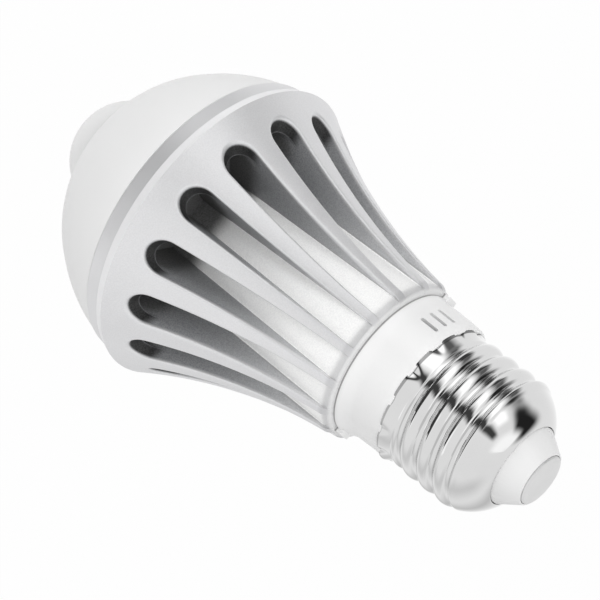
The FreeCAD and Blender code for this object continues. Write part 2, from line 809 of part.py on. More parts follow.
def make_driver():
    """The power supply's board, upright in the sleeve, with its components on both faces."""
    face = "driver_plane + driver_thickness"
    block("driver_board", "driver_width", "driver_thickness", DRIVER_LENGTH,
          ("-driver_width / 2", "driver_plane", "driver_start"))
    rod("bulk_capacitor", "capacitor_radius", driver_part("capacitor_share"),
        ("capacitor_x", f"{face} + capacitor_radius", along_driver("capacitor_start")))
    block("film_capacitor", "film_width", "film_depth", driver_part("film_share"),
          ("film_x", face, along_driver("film_start")))
    block("bridge_rectifier", "bridge_width", "bridge_depth", driver_part("bridge_share"),
          ("bridge_x", face, along_driver("bridge_start")))
    rod("choke", "choke_radius", driver_part("choke_share"),
        ("choke_x", f"{face} + choke_radius", along_driver("choke_start")))
    block("driver_chip", "chip_body_width", "chip_body_depth", driver_part("chip_body_share"),
          ("-chip_body_width / 2", "driver_plane - chip_body_depth", along_driver("chip_body_start")))
    make_transformer(face)


def make_transformer(face):
    """A ferrite block with its winding standing out at both ends."""
    body = new_body("transformer")
    sketch = new_sketch(body, "transformer_core_sketch", "XY_Plane", along_driver("core_start"))
    draw(sketch, [
        ("-core_width / 2", face),
        ("core_width / 2", face),
        ("core_width / 2", f"{face} + core_depth"),
        ("-core_width / 2", f"{face} + core_depth"),
    ])
    extrude(body, "core", sketch, "Pad", driver_part("core_share"))
    ends = new_sketch(body, "transformer_winding_sketch", "XY_Plane",
                      along_driver("core_start - winding_overhang"))
    circle(ends, "0", f"{face} + core_depth / 2", "winding_radius", "winding")
    extrude(body, "winding", ends, "Pad", driver_part("core_share + 2 * winding_overhang"))


def make_fuse_resistor():
    """The axial resistor in the live lead, with its two straight leads."""
    middle = "driver_plane + driver_thickness / 2"
    body = new_body("fuse_resistor")
    lead = new_sketch(body, "fuse_resistor_lead_sketch", "XY_Plane", "fuse_lead_start")
    circle(lead, "0", middle, "lead_radius", "lead")
    extrude(body, "lead", lead, "Pad", "driver_start - fuse_lead_start")
    can = new_sketch(body, "fuse_resistor_can_sketch", "XY_Plane", "fuse_start")
    circle(can, "0", middle, "fuse_radius", "can")
    extrude(body, "can", can, "Pad", "fuse_length")


def make_wires():
    """The insulated wires between cap, driver, board and sensor."""
    radius = value("wire_radius")
    middle = value("driver_plane + driver_thickness / 2")
    rivet_end, fuse_end = value("rivet_length"), value("fuse_lead_start")
    rise = (fuse_end - rivet_end) / 3
    live = [
        Vector(0, 0, rivet_end),
        Vector(0, 0, rivet_end + rise),
        Vector(0, middle, fuse_end - rise),
        Vector(0, middle, fuse_end),
    ]
    feature_from("live_wire", [tube(live, radius)])

    board_start, board_end = value("driver_start"), value(DRIVER_END)
    neutral_x, drop = value("neutral_x"), value("neutral_drop")
    neutral = [
        Vector(neutral_x, middle, board_start),
        Vector(neutral_x, middle, drop),
        Vector(value("neutral_reach"), middle, drop),
    ]
    feature_from("neutral_wire", [tube(neutral, radius)])

    spacing, sensor_board = value("sensor_lead_spacing"), value(SENSOR_BOARD)
    plate_bottom, board_top = value(PLATE_SEAT), value(BOARD_TOP)
    step = (plate_bottom - board_end) / 3
    sensor_leads = []
    for side in (-1, 0, 1):
        x = side * spacing
        sensor_leads.append(tube([
            Vector(x, middle, board_end),
            Vector(x, middle, board_end + step),
            Vector(x, 0, plate_bottom - step),
            Vector(x, 0, sensor_board),
        ], radius))
    feature_from("sensor_leads", sensor_leads)

    circle_radius, over = value("led_lead_circle"), board_top + radius
    led_leads = []
    for side in (-1, 1):
        led_leads.append(tube([
            Vector(side * value("led_lead_x"), middle, board_end),
            Vector(side * value("led_lead_x"), middle, board_end + step),
            Vector(side * circle_radius, 0, plate_bottom - step / 2),
            Vector(side * circle_radius, 0, over),
            Vector(side * value("led_lead_end"), 0, over),
        ], radius))
    feature_from("led_leads", led_leads)


def pieces():
    """Every finished piece: bodies and primitives, without the sketches and features inside bodies."""
    kinds = ("PartDesign::Body", "Part::Box", "Part::Cylinder", "Part::Feature")
    return [item for item in doc.Objects if item.TypeId in kinds]


def check_and_export():
    """Stop on a failed object or a bad shape, then write one file for each piece."""
    doc.recompute()
    for item in doc.Objects:
        if {"Invalid", "Error"} & set(item.State):
            raise RuntimeError(f"{item.Name} failed: {item.State}")
    for piece in pieces():
        if piece.Shape.isNull() or not piece.Shape.isValid():
            raise RuntimeError(f"{piece.Label} has no valid shape")
    os.makedirs("parts", exist_ok=True)
    for piece in pieces():
        piece.Shape.exportStep(f"parts/{piece.Label}.step")
        solids, volume = len(piece.Shape.Solids), piece.Shape.Volume
        print(f"{piece.Label}: {solids} solid(s), {volume:.1f} cubic mm")


make_centre_contact()
make_cap_insulator()
make_screw_shell()
make_driver_housing()
make_heat_sink()
make_led_plate()
make_board_layers()
make_led_chips()
make_board_screws()
make_diffuser()
make_pir_lens()
make_sensor_holder()
make_sensor_parts()
make_driver()
make_fuse_resistor()
make_wires()
check_and_export()
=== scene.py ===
import math

import bmesh
import bpy
from mathutils import Matrix, Vector


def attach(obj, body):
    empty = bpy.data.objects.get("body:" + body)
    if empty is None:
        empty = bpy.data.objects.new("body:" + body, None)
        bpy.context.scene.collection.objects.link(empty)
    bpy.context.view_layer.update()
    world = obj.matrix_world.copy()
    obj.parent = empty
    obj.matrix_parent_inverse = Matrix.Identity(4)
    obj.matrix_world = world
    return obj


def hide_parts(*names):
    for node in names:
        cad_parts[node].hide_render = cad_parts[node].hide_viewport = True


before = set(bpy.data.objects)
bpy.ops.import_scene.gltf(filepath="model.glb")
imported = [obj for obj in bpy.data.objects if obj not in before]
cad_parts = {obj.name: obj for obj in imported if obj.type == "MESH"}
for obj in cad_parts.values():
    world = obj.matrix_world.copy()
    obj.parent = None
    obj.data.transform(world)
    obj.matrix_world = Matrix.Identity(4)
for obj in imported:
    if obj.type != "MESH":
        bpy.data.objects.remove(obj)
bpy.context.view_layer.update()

# The lamp hangs down from the centre of its cap's contact. A profile point is a radius
# and a height in millimetres, the height being measured down from that contact.
MM = 0.001

# The screw shell: its closed end, the rolled thread with rounded crests and grooves, and one
# place on a crest, which sets where the thread lies.
SHELL_MOUTH = 7.85
SHELL_DOME_CURVE = 9.8
SHELL_BORE = 11.75
THREAD_MIDDLE = 12.62
THREAD_START = 9.2
THREAD_END = 22.3
THREAD_PITCH = 3.65
THREAD_DEPTH = 1.06
CREST_CURVE = 1.5
GROOVE_CURVE = 0.6
CREST_HEIGHT = 9.7
CREST_TURN = 182.5

# The shell's rim: dents punched into it, and a slight tilt, as on the photographed lamp.
DENT_COUNT = 14
DENT_TURN = -92.6
DENT_START = 22.9
DENT_DEPTH = 0.42
RIM_MM_PER_DEGREE = 0.235
RIM_TILT = 0.12
RIM_TILT_TURN = 2.5

# How far the housing's collar stands off centre.
COLLAR_OFFSET = 0.4

# The casting's ribs: a round foot, then one long flare. A curve has a radius and a centre.
FOOT_START = 34.1
FOOT_END = 36.1
FOOT_CURVE = 2.4
FOOT_CENTRE = (13.753, 36.208)
FLARE_END = 75.4
FLARE_CURVE = 107.0
FLARE_CENTRE = (122.155, 21.54)
CORE_RADIUS = 15.4
EDGE_ROUND = 0.42

# The skin over the slots' tips: where its inner face starts, and how that face leans outwards.
SKIN_FOOT = (21.9, 65.6)
SKIN_RUN = 4.3
SKIN_RISE = 9.0

# The slots: a mouth drawn in a plane beside the lamp, with a round tip, and drafted walls behind.
# Its sides are given by half a width at a height, and by how they close in towards the tip.
SLOT_COUNT = 15
SLOT_PLANE = 30.0
SLOT_DRAFT = math.tan(math.radians(7.2))
SIDE_START = (4.4, 30.31)
SIDE_RUN = 0.75
SIDE_RISE = 39.24
TIP_RADIUS = 3.66
TIP_CENTRE = 68.39
TIP_STEPS = 8
POCKET_END = 74.55
SIDE_HEIGHTS = [
    FOOT_START, 34.3, 34.6, 35.0, 35.5, 36.1, 37.0, 38.5, 40.5, 43.0, 46.0, 49.0, 52.0,
    55.0, 58.0, 60.5, 62.5, 64.2, 65.6, 67.0, 68.3,
]
# The points of a tip are counted from 0. Behind the first ones the pocket keeps its full width.
LAST_TIP = TIP_STEPS - 1
FIRST_TIPS = 2


# ---------------------------------------------------------------- materials


class Signal:
    """One output of some nodes. Sums, products and the like on it add Math nodes."""

    def __init__(self, nodes, socket):
        self.nodes = nodes
        self.socket = socket

    def math(self, operation, *values):
        inputs = dict(enumerate(values))
        return self.nodes.node("ShaderNodeMath", {"operation": operation}, inputs)

    def __add__(self, other):
        return self.math("ADD", self, other)

    def __sub__(self, other):
        return self.math("SUBTRACT", self, other)

    def __mul__(self, other):
        return self.math("MULTIPLY", self, other)

    def __rsub__(self, other):
        return self.math("SUBTRACT", other, self)

    __radd__ = __add__
    __rmul__ = __mul__

    def within(self, low, high):
        """0 below low, 1 above high, and smooth between them."""
        inputs = {"Value": self, "From Min": low, "From Max": high}
        settings = {"interpolation_type": "SMOOTHSTEP", "clamp": True}
        return self.nodes.node("ShaderNodeMapRange", settings, inputs)


class Nodes:
    """The nodes of one material or of the world."""

    def __init__(self, tree):
        self.tree = tree

    def node(self, kind, settings=None, inputs=None, output=0):
        """Add a node: its type, its settings, and the values or links of its sockets."""
        node = self.tree.nodes.new(kind)
        for key, setting in (settings or {}).items():
            setattr(node, key, setting)
        for key, source in (inputs or {}).items():
            if isinstance(source, Signal):
                self.tree.links.new(source.socket, node.inputs[key])
            else:
                node.inputs[key].default_value = source
        return Signal(self, node.outputs[output])

    def parts_of(self, vector):
        """The three numbers of a vector."""
        split = self.node("ShaderNodeSeparateXYZ", None, {"Vector": vector}).socket.node
        return [Signal(self, split.outputs[axis]) for axis in "XYZ"]


class Finish(Nodes):
    """A node material for one finish of the lamp."""

    def __init__(self, name, **shader):
        self.material = bpy.data.materials.new(name)
        self.material.use_nodes = True
        super().__init__(self.material.node_tree)
        self.shader = self.tree.nodes["Principled BSDF"]
        for socket, setting in shader.items():
            self.shader.inputs[socket.replace("_", " ").title()].default_value = setting
        self.place = self.node("ShaderNodeTexCoord", output="Object")

    def feed(self, socket, signal):
        self.tree.links.new(signal.socket, self.shader.inputs[socket])

    def noise(self, scale, detail=3.0, roughness=0.5, stretch=None):
        """Noise of about 1/scale metres, or stretched by a vector of scales."""
        place = self.place
        if stretch:
            place = self.node("ShaderNodeMapping", None, {"Vector": place, "Scale": stretch})
        inputs = {"Vector": place, "Scale": scale, "Detail": detail, "Roughness": roughness}
        return self.node("ShaderNodeTexNoise", {"normalize": True}, inputs)

    def blend(self, factor, first, second):
        """A colour between two colours. Each is three numbers or a signal."""
        inputs = {"Factor": factor}
        for key, colour in ((6, first), (7, second)):
            inputs[key] = (*colour, 1) if isinstance(colour, tuple) else colour
        return self.node("ShaderNodeMix", {"data_type": "RGBA"}, inputs, output=2)

    def bump(self, height, distance, strength=1.0, normal=None):
        """A normal for a relief of a depth in metres, on top of another normal if given."""
        inputs = {"Height": height, "Distance": distance, "Strength": strength}
        if normal:
            inputs["Normal"] = normal
        return self.node("ShaderNodeBump", None, inputs)

    def around(self):
        """Radius and height of a point on the lamp, in millimetres, and its angle in turns."""
        x, y, z = self.parts_of(self.place)
        radius = x.math("SQRT", x * x + y * y) * 1000
        turn = x.math("ARCTAN2", y, x) * (1 / math.tau)
        return radius, z * -1000, turn


def mould_gloss(finish, roughness):
    """Give a plastic uneven gloss and a fine mould texture. Returns the mottling it follows."""
    mottle = finish.noise(90.0)
    fine = finish.noise(1800.0, 2.0)
    finish.feed("Roughness", mottle * 0.06 + fine * 0.05 + (roughness - 0.055))
    finish.feed("Normal", finish.bump(fine, 0.01 * MM))
    return mottle


def moulded(name, colour, roughness, spread=0.03):
    """Plain moulded plastic. A faint mottling darkens it by up to the share spread."""
    finish = Finish(name, roughness=roughness)
    mottle = mould_gloss(finish, roughness)
    darker = tuple(channel * (1 - spread) for channel in colour)
    finish.feed("Base Color", finish.blend(mottle, darker, colour))
    return finish.material


def white_housing():
    """Glossy white plastic, with a painted shadow in the seam where it meets the casting."""
    finish = Finish("housing_white")
    _, height, _ = finish.around()
    mottle = mould_gloss(finish, 0.305)
    # A grey band painted on the housing where it meets the casting: painted shadow of the gap
    # between the parts.
    seam_shadow = height.within(33.72, 33.9) * height.within(34.4, 34.2)
    white = finish.blend(mottle, (0.785, 0.785, 0.785), (0.81, 0.81, 0.81))
    finish.feed("Base Color", finish.blend(seam_shadow, white, (0.30, 0.30, 0.30)))
    return finish.material


def cast_metal():
    """Blasted casting: satin faces, coarse grain in the slots, and painted light and shade in the
    slots: bright floors, darker sides, painted shade deepening towards the tips.
    """
    finish = Finish("cast_aluminium")
    radius, height, _ = finish.around()
    grain = finish.noise(4200.0, 3.0, 0.6).within(0.3, 0.7)
    cloud = finish.noise(140.0, 3.0)

    # The slots are told by how far a point lies behind the ribs' faces.
    along = height - FLARE_CENTRE[1]
    face = FLARE_CENTRE[0] - along.math("SQRT", FLARE_CURVE ** 2 - along * along)
    depth = (face - radius) * height.within(75.6, 75.3)
    inside = depth.within(0.35, 0.9)
    floor = radius.within(15.66, 15.5)
    corner = radius.within(15.5, 15.6) * radius.within(15.95, 15.75)
    low = height.within(64.0, 38.0)

    # Where painted shade goes: the tips and the pockets behind them. Along the line where the skin
    # ends over a pocket, the tips' painted shade is lightened.
    tip = inside * height.within(67.0, 69.5) * depth.within(3.4, 2.4)
    pocket = depth.within(2.0, 5.0) * height.within(66.5, 70.5)
    lip = (height - SKIN_FOOT[1]) * (SKIN_RUN / SKIN_RISE) + SKIN_FOOT[0] - radius
    lip = lip.math("ABSOLUTE", lip).within(0.14, 0.05) * height.within(67.0, 68.5)

    # The ribs' foot, where painted shade dims a highlight, and the bevel and band that are turned
    # on the rim. The bevel carries a painted highlight.
    foot = height.within(36.3, 35.3)
    turned = height.within(77.15, 77.3)
    bevel = height.within(75.36, 75.44) - turned

    faces = finish.blend(cloud * 0.5 + grain * 0.5, (0.69, 0.69, 0.70), (0.80, 0.80, 0.81))
    # Painted light and shade in the slots: floors painted bright as if lit, sides painted darker as
    # if shaded, darkest near the tips.
    lit_floors = finish.blend(grain, (0.90, 0.90, 0.90), (1.0, 1.0, 0.99))
    shaded_upper_sides = finish.blend(grain, (0.23, 0.235, 0.245), (0.37, 0.375, 0.385))
    shaded_lower_sides = finish.blend(grain, (0.46, 0.465, 0.475), (0.60, 0.605, 0.615))
    shaded = finish.blend(grain, (0.10, 0.10, 0.10), (0.18, 0.18, 0.18))
    tip_shade = finish.blend(grain, (0.01, 0.01, 0.01), (0.05, 0.05, 0.05))
    band = finish.blend(cloud, (0.74, 0.74, 0.75), (0.80, 0.80, 0.81))

    # The slots' sides get painted shade that deepens from the foot towards the tips, and their
    # floors get painted light.
    walls = finish.blend(floor, finish.blend(low, shaded_upper_sides, shaded_lower_sides), lit_floors)
    # A painted shadow in the corner where a slot's floor meets its side.
    walls = finish.blend(corner * 0.5, walls, (0.30, 0.30, 0.30))
    body = finish.blend(inside, faces, walls)
    # Painted shade in the pockets, and the darkest painted shade on the tips' walls.
    body = finish.blend(pocket, body, shaded)
    body = finish.blend(tip * (1 - lip * 0.6), body, tip_shade)
    # Painted shade on the ribs' foot, then a painted highlight on the rim's bevel.
    body = finish.blend(foot * 0.4, body, (0.42, 0.42, 0.43))
    body = finish.blend(bevel, body, (0.88, 0.88, 0.89))
    finish.feed("Base Color", finish.blend(turned, body, band))
    finish.feed("Metallic", (1 - inside) * 0.5 + 0.25 - bevel * 0.5)
    finish.feed("Roughness", cloud * 0.05 + grain * 0.05 + inside * 0.06 + 0.42 - turned * 0.02)
    finish.feed("Normal", finish.bump(grain, 0.02 * MM, 0.5))
    return finish.material


def nickel_plate():
    """Bright plated sheet with a faint haze, rolling marks on the thread, and a painted shadow of
    the gap under the rim, darker on one side.
    """
    finish = Finish("nickel_plate", metallic=1.0)
    _, height, turn = finish.around()
    side = turn.math("COSINE", turn * math.tau)
    haze = finish.noise(160.0, 3.0)
    bright = finish.blend(haze, (0.66, 0.66, 0.66), (0.73, 0.73, 0.73))
    # Painted shadow of the gap between the rim and the collar, darker on the side where the rim
    # stands off.
    gap_shadow = (height - side * 0.14).within(24.38, 24.5) * (0.7 - side * 0.3)
    finish.feed("Base Color", finish.blend(gap_shadow, bright, (0.16, 0.16, 0.16)))
    finish.feed("Roughness", haze * 0.04 + 0.02)

    threaded = height.within(9.0, 10.5) * height.within(23.0, 21.5)
    rolled = finish.noise(1.0, 2.0, 0.6, stretch=(45.0, 45.0, 1400.0)) * threaded
    ripple = finish.noise(190.0, 1.0) * height.within(21.5, 23.0)
    waves = finish.bump(finish.noise(55.0, 1.5), 0.3 * MM, 0.5)
    finish.feed("Normal", finish.bump(rolled + ripple * 2.0, 0.15 * MM, 0.6, waves))
    return finish.material


def plain_metal(name, colour, roughness):
    """Small metal part: satin, with slight stains."""
    finish = Finish(name, metallic=1.0)
    stain = finish.noise(180.0)
    fine = finish.noise(900.0, 2.0)
    darker = tuple(channel * 0.86 for channel in colour)
    finish.feed("Base Color", finish.blend(stain, darker, colour))
    finish.feed("Roughness", stain * 0.1 + fine * 0.06 + (roughness - 0.08))
    finish.feed("Normal", finish.bump(fine, 0.01 * MM, 0.5))
    return finish.material


# ---------------------------------------------------------------- pieces


def new_mesh(name, bm, angle=35.0):
    """Turn a bmesh into a piece with smooth faces and sharp edges above the angle."""
    for face in bm.faces:
        face.smooth = True
    for edge in bm.edges:
        edge.smooth = len(edge.link_faces) == 2 and edge.calc_face_angle() < math.radians(angle)
    mesh = bpy.data.meshes.new(name)
    bm.to_mesh(mesh)
    bm.free()
    piece = bpy.data.objects.new(name, mesh)
    bpy.context.scene.collection.objects.link(piece)
    return piece


def stands_for(piece, node, material):
    """Put a new piece in the place of a CAD node, on the lamp's one body."""
    piece.data.materials.append(material)
    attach(piece, "root")
    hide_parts(node)
    return piece


def ramp(value, start, length):
    """0 up to start, 1 from start + length on, and straight between them."""
    return min(1, max(0, (value - start) / length))


def spun_bmesh(profile, steps, closed=True):
    """Spin an outline round the lamp's axis. A point is a radius, a height and maybe a rounding."""
    bm = bmesh.new()
    corners = [bm.verts.new((point[0] * MM, 0, -point[1] * MM)) for point in profile]
    pairs = list(zip(corners, corners[1:]))
    if closed:
        pairs.append((corners[-1], corners[0]))
    for pair in pairs:
        bm.edges.new(pair)
    for point, corner in zip(profile, corners):
        if len(point) == 3:
            round_corner(bm, corner, point[2])
    bmesh.ops.spin(
        bm, geom=bm.verts[:] + bm.edges[:], cent=(0, 0, 0), axis=(0, 0, 1),
        angle=math.tau, steps=steps, use_merge=True,
    )
    bmesh.ops.remove_doubles(bm, verts=bm.verts, dist=1e-6)
    bmesh.ops.delete(bm, geom=[edge for edge in bm.edges if edge.is_wire], context="EDGES")
    bmesh.ops.recalc_face_normals(bm, faces=bm.faces)
    return bm


def round_corner(bm, corner, rounding, segments=5):
    """Round one corner of an outline by some millimetres."""
    bmesh.ops.bevel(
        bm, geom=[corner], offset=rounding * MM, offset_type="OFFSET", segments=segments,
        profile=0.5, affect="VERTICES", material=-1,
    )


def arc(begin, end, radius, side, steps):
    """Points on the short arc between two points, without the first. side is 1 or -1."""
    begin, end = Vector(begin), Vector(end)
    chord = end - begin
    across = Vector((-chord.y, chord.x)).normalized()
    centre = (begin + end) / 2 + across * side * math.sqrt(radius ** 2 - chord.length ** 2 / 4)
    whole = (begin - centre).angle_signed(end - centre)
    return [
        tuple(centre + Matrix.Rotation(-whole * step / steps, 2) @ (begin - centre))
        for step in range(1, steps + 1)
    ]


def bend(begin, towards, away, end, steps):
    """Points on a curve that leaves begin towards one point and reaches end from another."""
    points = []
    for step in range(1, steps + 1):
        share = step / steps
        rest = 1 - share
        weights = (rest ** 3, 3 * rest ** 2 * share, 3 * rest * share ** 2, share ** 3)
        points.append(tuple(
            sum(weight * point[axis] for weight, point in zip(weights, (begin, towards, away, end)))
            for axis in (0, 1)
        ))
    return points


def merged_copy(node, angle):
    """A copy of a CAD node's mesh with its triangles joined, and smooth up to an angle."""
    bm = bmesh.new()
    bm.from_mesh(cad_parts[node].data)
    bmesh.ops.remove_doubles(bm, verts=bm.verts, dist=2e-6)
    return new_mesh(f"{node}_form", bm, angle)


def make_contact():
    """The centre contact: a disc with a rivet behind it."""
    outline = [(0, 0), (4.8, 0, 0.35), (4.8, 0.9), (1.1, 0.9), (1.1, 6.2), (0, 6.2)]
    bm = spun_bmesh(outline, 96, closed=False)
    tinned = plain_metal("tinned_contact", (0.82, 0.82, 0.82), 0.55)
    stands_for(new_mesh("contact_disc", bm), "centre_contact", tinned)


def make_insulator():
    """The white cone between the contact and the shell."""
    bm = spun_bmesh([
        (4.9, 0.9), (4.9, 0.3, 0.1), (5.15, 0.35, 0.15), (7.7, 4.25), (7.7, 5.3),
        (9.0, 6.15), (9.0, 6.35), (1.2, 6.35), (1.2, 0.9),
    ], 120)
    white = moulded("insulator_white", (0.74, 0.74, 0.74), 0.35)
    stands_for(new_mesh("insulator_cone", bm), "cap_insulator", white)


def thread_rise(height, turn):
    """How far the rolled thread stands out from its middle, in mm."""
    crest = CREST_HEIGHT - THREAD_PITCH * (turn - CREST_TURN) / 360
    phase = (height - crest) / THREAD_PITCH % 1
    across = (phase if phase < 0.5 else phase - 1) * THREAD_PITCH
    meeting = THREAD_PITCH / 2 * CREST_CURVE / (CREST_CURVE + GROOVE_CURVE)
    if abs(across) < meeting:
        return THREAD_DEPTH / 2 - CREST_CURVE + math.sqrt(CREST_CURVE ** 2 - across ** 2)
    far = THREAD_PITCH / 2 - abs(across)
    return GROOVE_CURVE - THREAD_DEPTH / 2 - math.sqrt(GROOVE_CURVE ** 2 - far ** 2)


def dent_depth(height, turn):
    """How deep the dents punched into the rim are, in mm: wedges that open towards the rim."""
    spacing = 360 / DENT_COUNT
    across = (((turn - DENT_TURN) / spacing + 0.5) % 1 - 0.5) * spacing * RIM_MM_PER_DEGREE
    opening = ramp(height, DENT_START, 1.6)
    return DENT_DEPTH * opening ** 1.5 * math.exp(-(across / (0.45 + 0.5 * opening)) ** 2)


def shape_shell(bm):
    """Roll the thread into the plain shell, punch its rim and tilt it. The bore stays plain."""
    for vert in bm.verts:
        height, radius = -vert.co.z / MM, vert.co.xy.length / MM
        if radius < 12.2 or height < 8.0:
            continue
        turn = math.degrees(math.atan2(vert.co.y, vert.co.x))
        fade = ramp(height, 8.6, 1.4) * ramp(-height, -22.5, 1.0)
        rise = thread_rise(height, turn) * fade - dent_depth(height, turn)
        lean = 1 - math.cos(math.radians(turn - RIM_TILT_TURN))
        vert.co.xy *= (radius + rise) / radius
        vert.co.z -= RIM_TILT * lean * ramp(height, 22.4, 2) * MM


def make_shell():
    """The plated shell: closed end, helical thread, skirt, and rim punched into the housing."""
    rows = 120
    length = THREAD_END - THREAD_START
    outline = [(SHELL_MOUTH, 4.65, 0.1), (SHELL_MOUTH, 4.25, 0.15)]
    outline += arc((SHELL_MOUTH, 4.25), (THREAD_MIDDLE, THREAD_START), SHELL_DOME_CURVE, 1, 24)
    outline += [(THREAD_MIDDLE, THREAD_START + length * row / rows) for row in range(1, rows)]
    outline += arc((THREAD_MIDDLE, THREAD_END), (13.42, 24.55), 3.6, -1, 22)
    outline += [(13.5, 24.75), (13.4, 24.85), (13.2, 24.6)]
    outline += [(12.3, 22.6), (SHELL_BORE, 21.8), (SHELL_BORE, 9.3)]
    outline += arc((SHELL_BORE, 9.3), (SHELL_MOUTH, 4.65), SHELL_DOME_CURVE, -1, 12)[:-1]
    bm = spun_bmesh(outline, 440)
    shape_shell(bm)
    stands_for(new_mesh("threaded_shell", bm, 60), "screw_shell", nickel_plate())


def make_housing():
    """The white housing. Its collar stands a little off centre, towards the slits."""
    piece = merged_copy("driver_housing", 32)
    for vert in piece.data.vertices:
        height = -vert.co.z / MM
        off = ramp(height, 24.7, 0.6) * ramp(-height, -33.6, 2.6)
        vert.co.x -= COLLAR_OFFSET * off * MM
    stands_for(piece, "driver_housing", white_housing())


def rib_face(height):
    """Radius of the ribs' outer faces: a round foot, then one long flare."""
    if height < FOOT_END:
        return FOOT_CENTRE[0] + math.sqrt(FOOT_CURVE ** 2 - (height - FOOT_CENTRE[1]) ** 2)
    return FLARE_CENTRE[0] - math.sqrt(FLARE_CURVE ** 2 - (height - FLARE_CENTRE[1]) ** 2)


def core_face(height):
    """Radius of the slots' floors, which stay just under the ribs' faces at the foot."""
    return min(CORE_RADIUS, rib_face(height) - 0.15)


def under_skin(height):
    """Radius of the skin's inner face above a slot's tip. Lower down, halfway to the core."""
    skin = SKIN_FOOT[0] + (height - SKIN_FOOT[1]) * SKIN_RUN / SKIN_RISE
    return max(skin, (rib_face(height) + core_face(height)) / 2)


def slot_side(height):
    """Half the width of a slot's mouth, in the plane SLOT_PLANE from the lamp's axis."""
    return SIDE_START[0] - (height - SIDE_START[1]) * SIDE_RUN / SIDE_RISE


def slot_mouth():
    """Half of a slot's mouth, from foot to tip: x, height and the direction out of the slot."""
    mouth = [(slot_side(height), height, 1.0, 0.0) for height in SIDE_HEIGHTS]
    for step in range(1, TIP_STEPS + 1):
        turn = math.radians(90 * step / TIP_STEPS)
        across, along = math.cos(turn) if step < TIP_STEPS else 0.0, math.sin(turn)
        mouth.append((TIP_RADIUS * across, TIP_CENTRE + TIP_RADIUS * along, across, along))
    return mouth


def on_wall(point, radius):
    """Where the drafted wall behind a point of the mouth meets a radius that height gives."""
    x, height, across, along = point
    wall_x, wall_height, out = x, height, 20.0
    # The wall leans, so the point is closed in on step by step.
    for _ in range(20):
        inward = (SLOT_PLANE - out) * SLOT_DRAFT
        wall_x, wall_height = x - across * inward, height - along * inward
        out = math.sqrt(radius(wall_height) ** 2 - wall_x ** 2)
    return wall_x, out, wall_height


def round_lamp(x, radius, height):
    """The point at a radius and height that is x to the side of the slot's middle."""
    return x, math.sqrt(radius ** 2 - x ** 2), height


def pocket_point(height, share, radius):
    """A point of the pocket's outline above the tip. Its sides carry on from the slot's sides."""
    corner = on_wall((slot_side(height), height, 1.0, 0.0), radius)
    return round_lamp(corner[0] * share, radius(height), height)


def pocket_level(height, tip):
    """How high the pocket reaches behind a point of the tip."""
    return height + 1.2 + 1.2 * tip if tip < FIRST_TIPS else POCKET_END


def closing(tip):
    """How much of the slot's width is left at a point of the tip: 1 at first and 0 at the last."""
    return (LAST_TIP - tip) / (LAST_TIP - FIRST_TIPS) if tip >= FIRST_TIPS else 1.0


def between(first, second, share):
    """The point a share of the way from the first to the second."""
    return tuple(a + (b - a) * share for a, b in zip(first, second))


def border_point(height, tip):
    """Where the slot's sector ends: down the middle of the rib, or along the rim above the tip."""
    if tip >= FIRST_TIPS:
        height = FLARE_END
    elif tip >= 0:
        height = height + 0.9 + 0.75 * tip
    return rib_face(height) * math.sin(math.radians(180 / SLOT_COUNT) * closing(tip)), height


def slot_section(point, tip):
    """Points across the casting behind one point of the mouth, from the rib's face to the floor.

    tip is negative along the slot's side and counts the points of its tip from 0.
    """
    x, height, across, along = point
    edge = EDGE_ROUND * min(1, (rib_face(height) - core_face(height)) / 1.6)
    mouth = on_wall(point, rib_face)
    outer_height = mouth[2] + along * edge
    outer = round_lamp(mouth[0] + across * edge, rib_face(outer_height), outer_height)
    inner = on_wall(point, lambda level: rib_face(level) - edge)
    border_x, border_height = border_point(height, tip)
    section = []
    for share in (0, 0.35, 0.7):
        face_x, face_height = between((border_x, border_height), (outer[0], outer[2]), share)
        section.append(round_lamp(face_x, rib_face(face_height), face_height))
    for step in range(5):
        turn = math.radians(22.5 * step)
        towards_outer, towards_inner = 1 - math.sin(turn), 1 - math.cos(turn)
        section.append(tuple(
            corner + (out - corner) * towards_outer + (into - corner) * towards_inner
            for corner, out, into in zip(mouth, outer, inner)
        ))
    if tip < 0:
        rib, skin, core = rib_face(height), under_skin(height), core_face(height)
        down = skin - core
        radii = (skin + 0.06 * (rib - skin), skin, skin - 0.06 * down, skin - 0.3 * down, core)
        return section + [on_wall(point, lambda level: radius) for radius in radii]
    above_lip = on_wall(point, lambda level: under_skin(level) + 0.2)
    lip = on_wall(point, lambda level: under_skin(level) + 0.03)
    level = pocket_level(height, tip)
    skin = pocket_point(level, closing(tip), under_skin)
    core = pocket_point(level, closing(tip), core_face)
    return section + [above_lip, lip, between(lip, skin, 0.08), skin, core]


def floor_section(height):
    """The slot's floor at one height, from its side to its middle."""
    return [pocket_point(height, share / 5, core_face) for share in (5, 4, 3, 2, 1, 0)]


def fitted_grid(bm, rows):
    """A grid whose points are put at the places in rows."""
    columns = len(rows[0])
    grid = bmesh.ops.create_grid(bm, x_segments=columns - 1, y_segments=len(rows) - 1, size=1)
    for vert in grid["verts"]:
        column = round((vert.co.x + 1) / 2 * (columns - 1))
        row = round((vert.co.y + 1) / 2 * (len(rows) - 1))
        x, out, height = rows[row][column]
        vert.co = (x * MM, -out * MM, -height * MM)


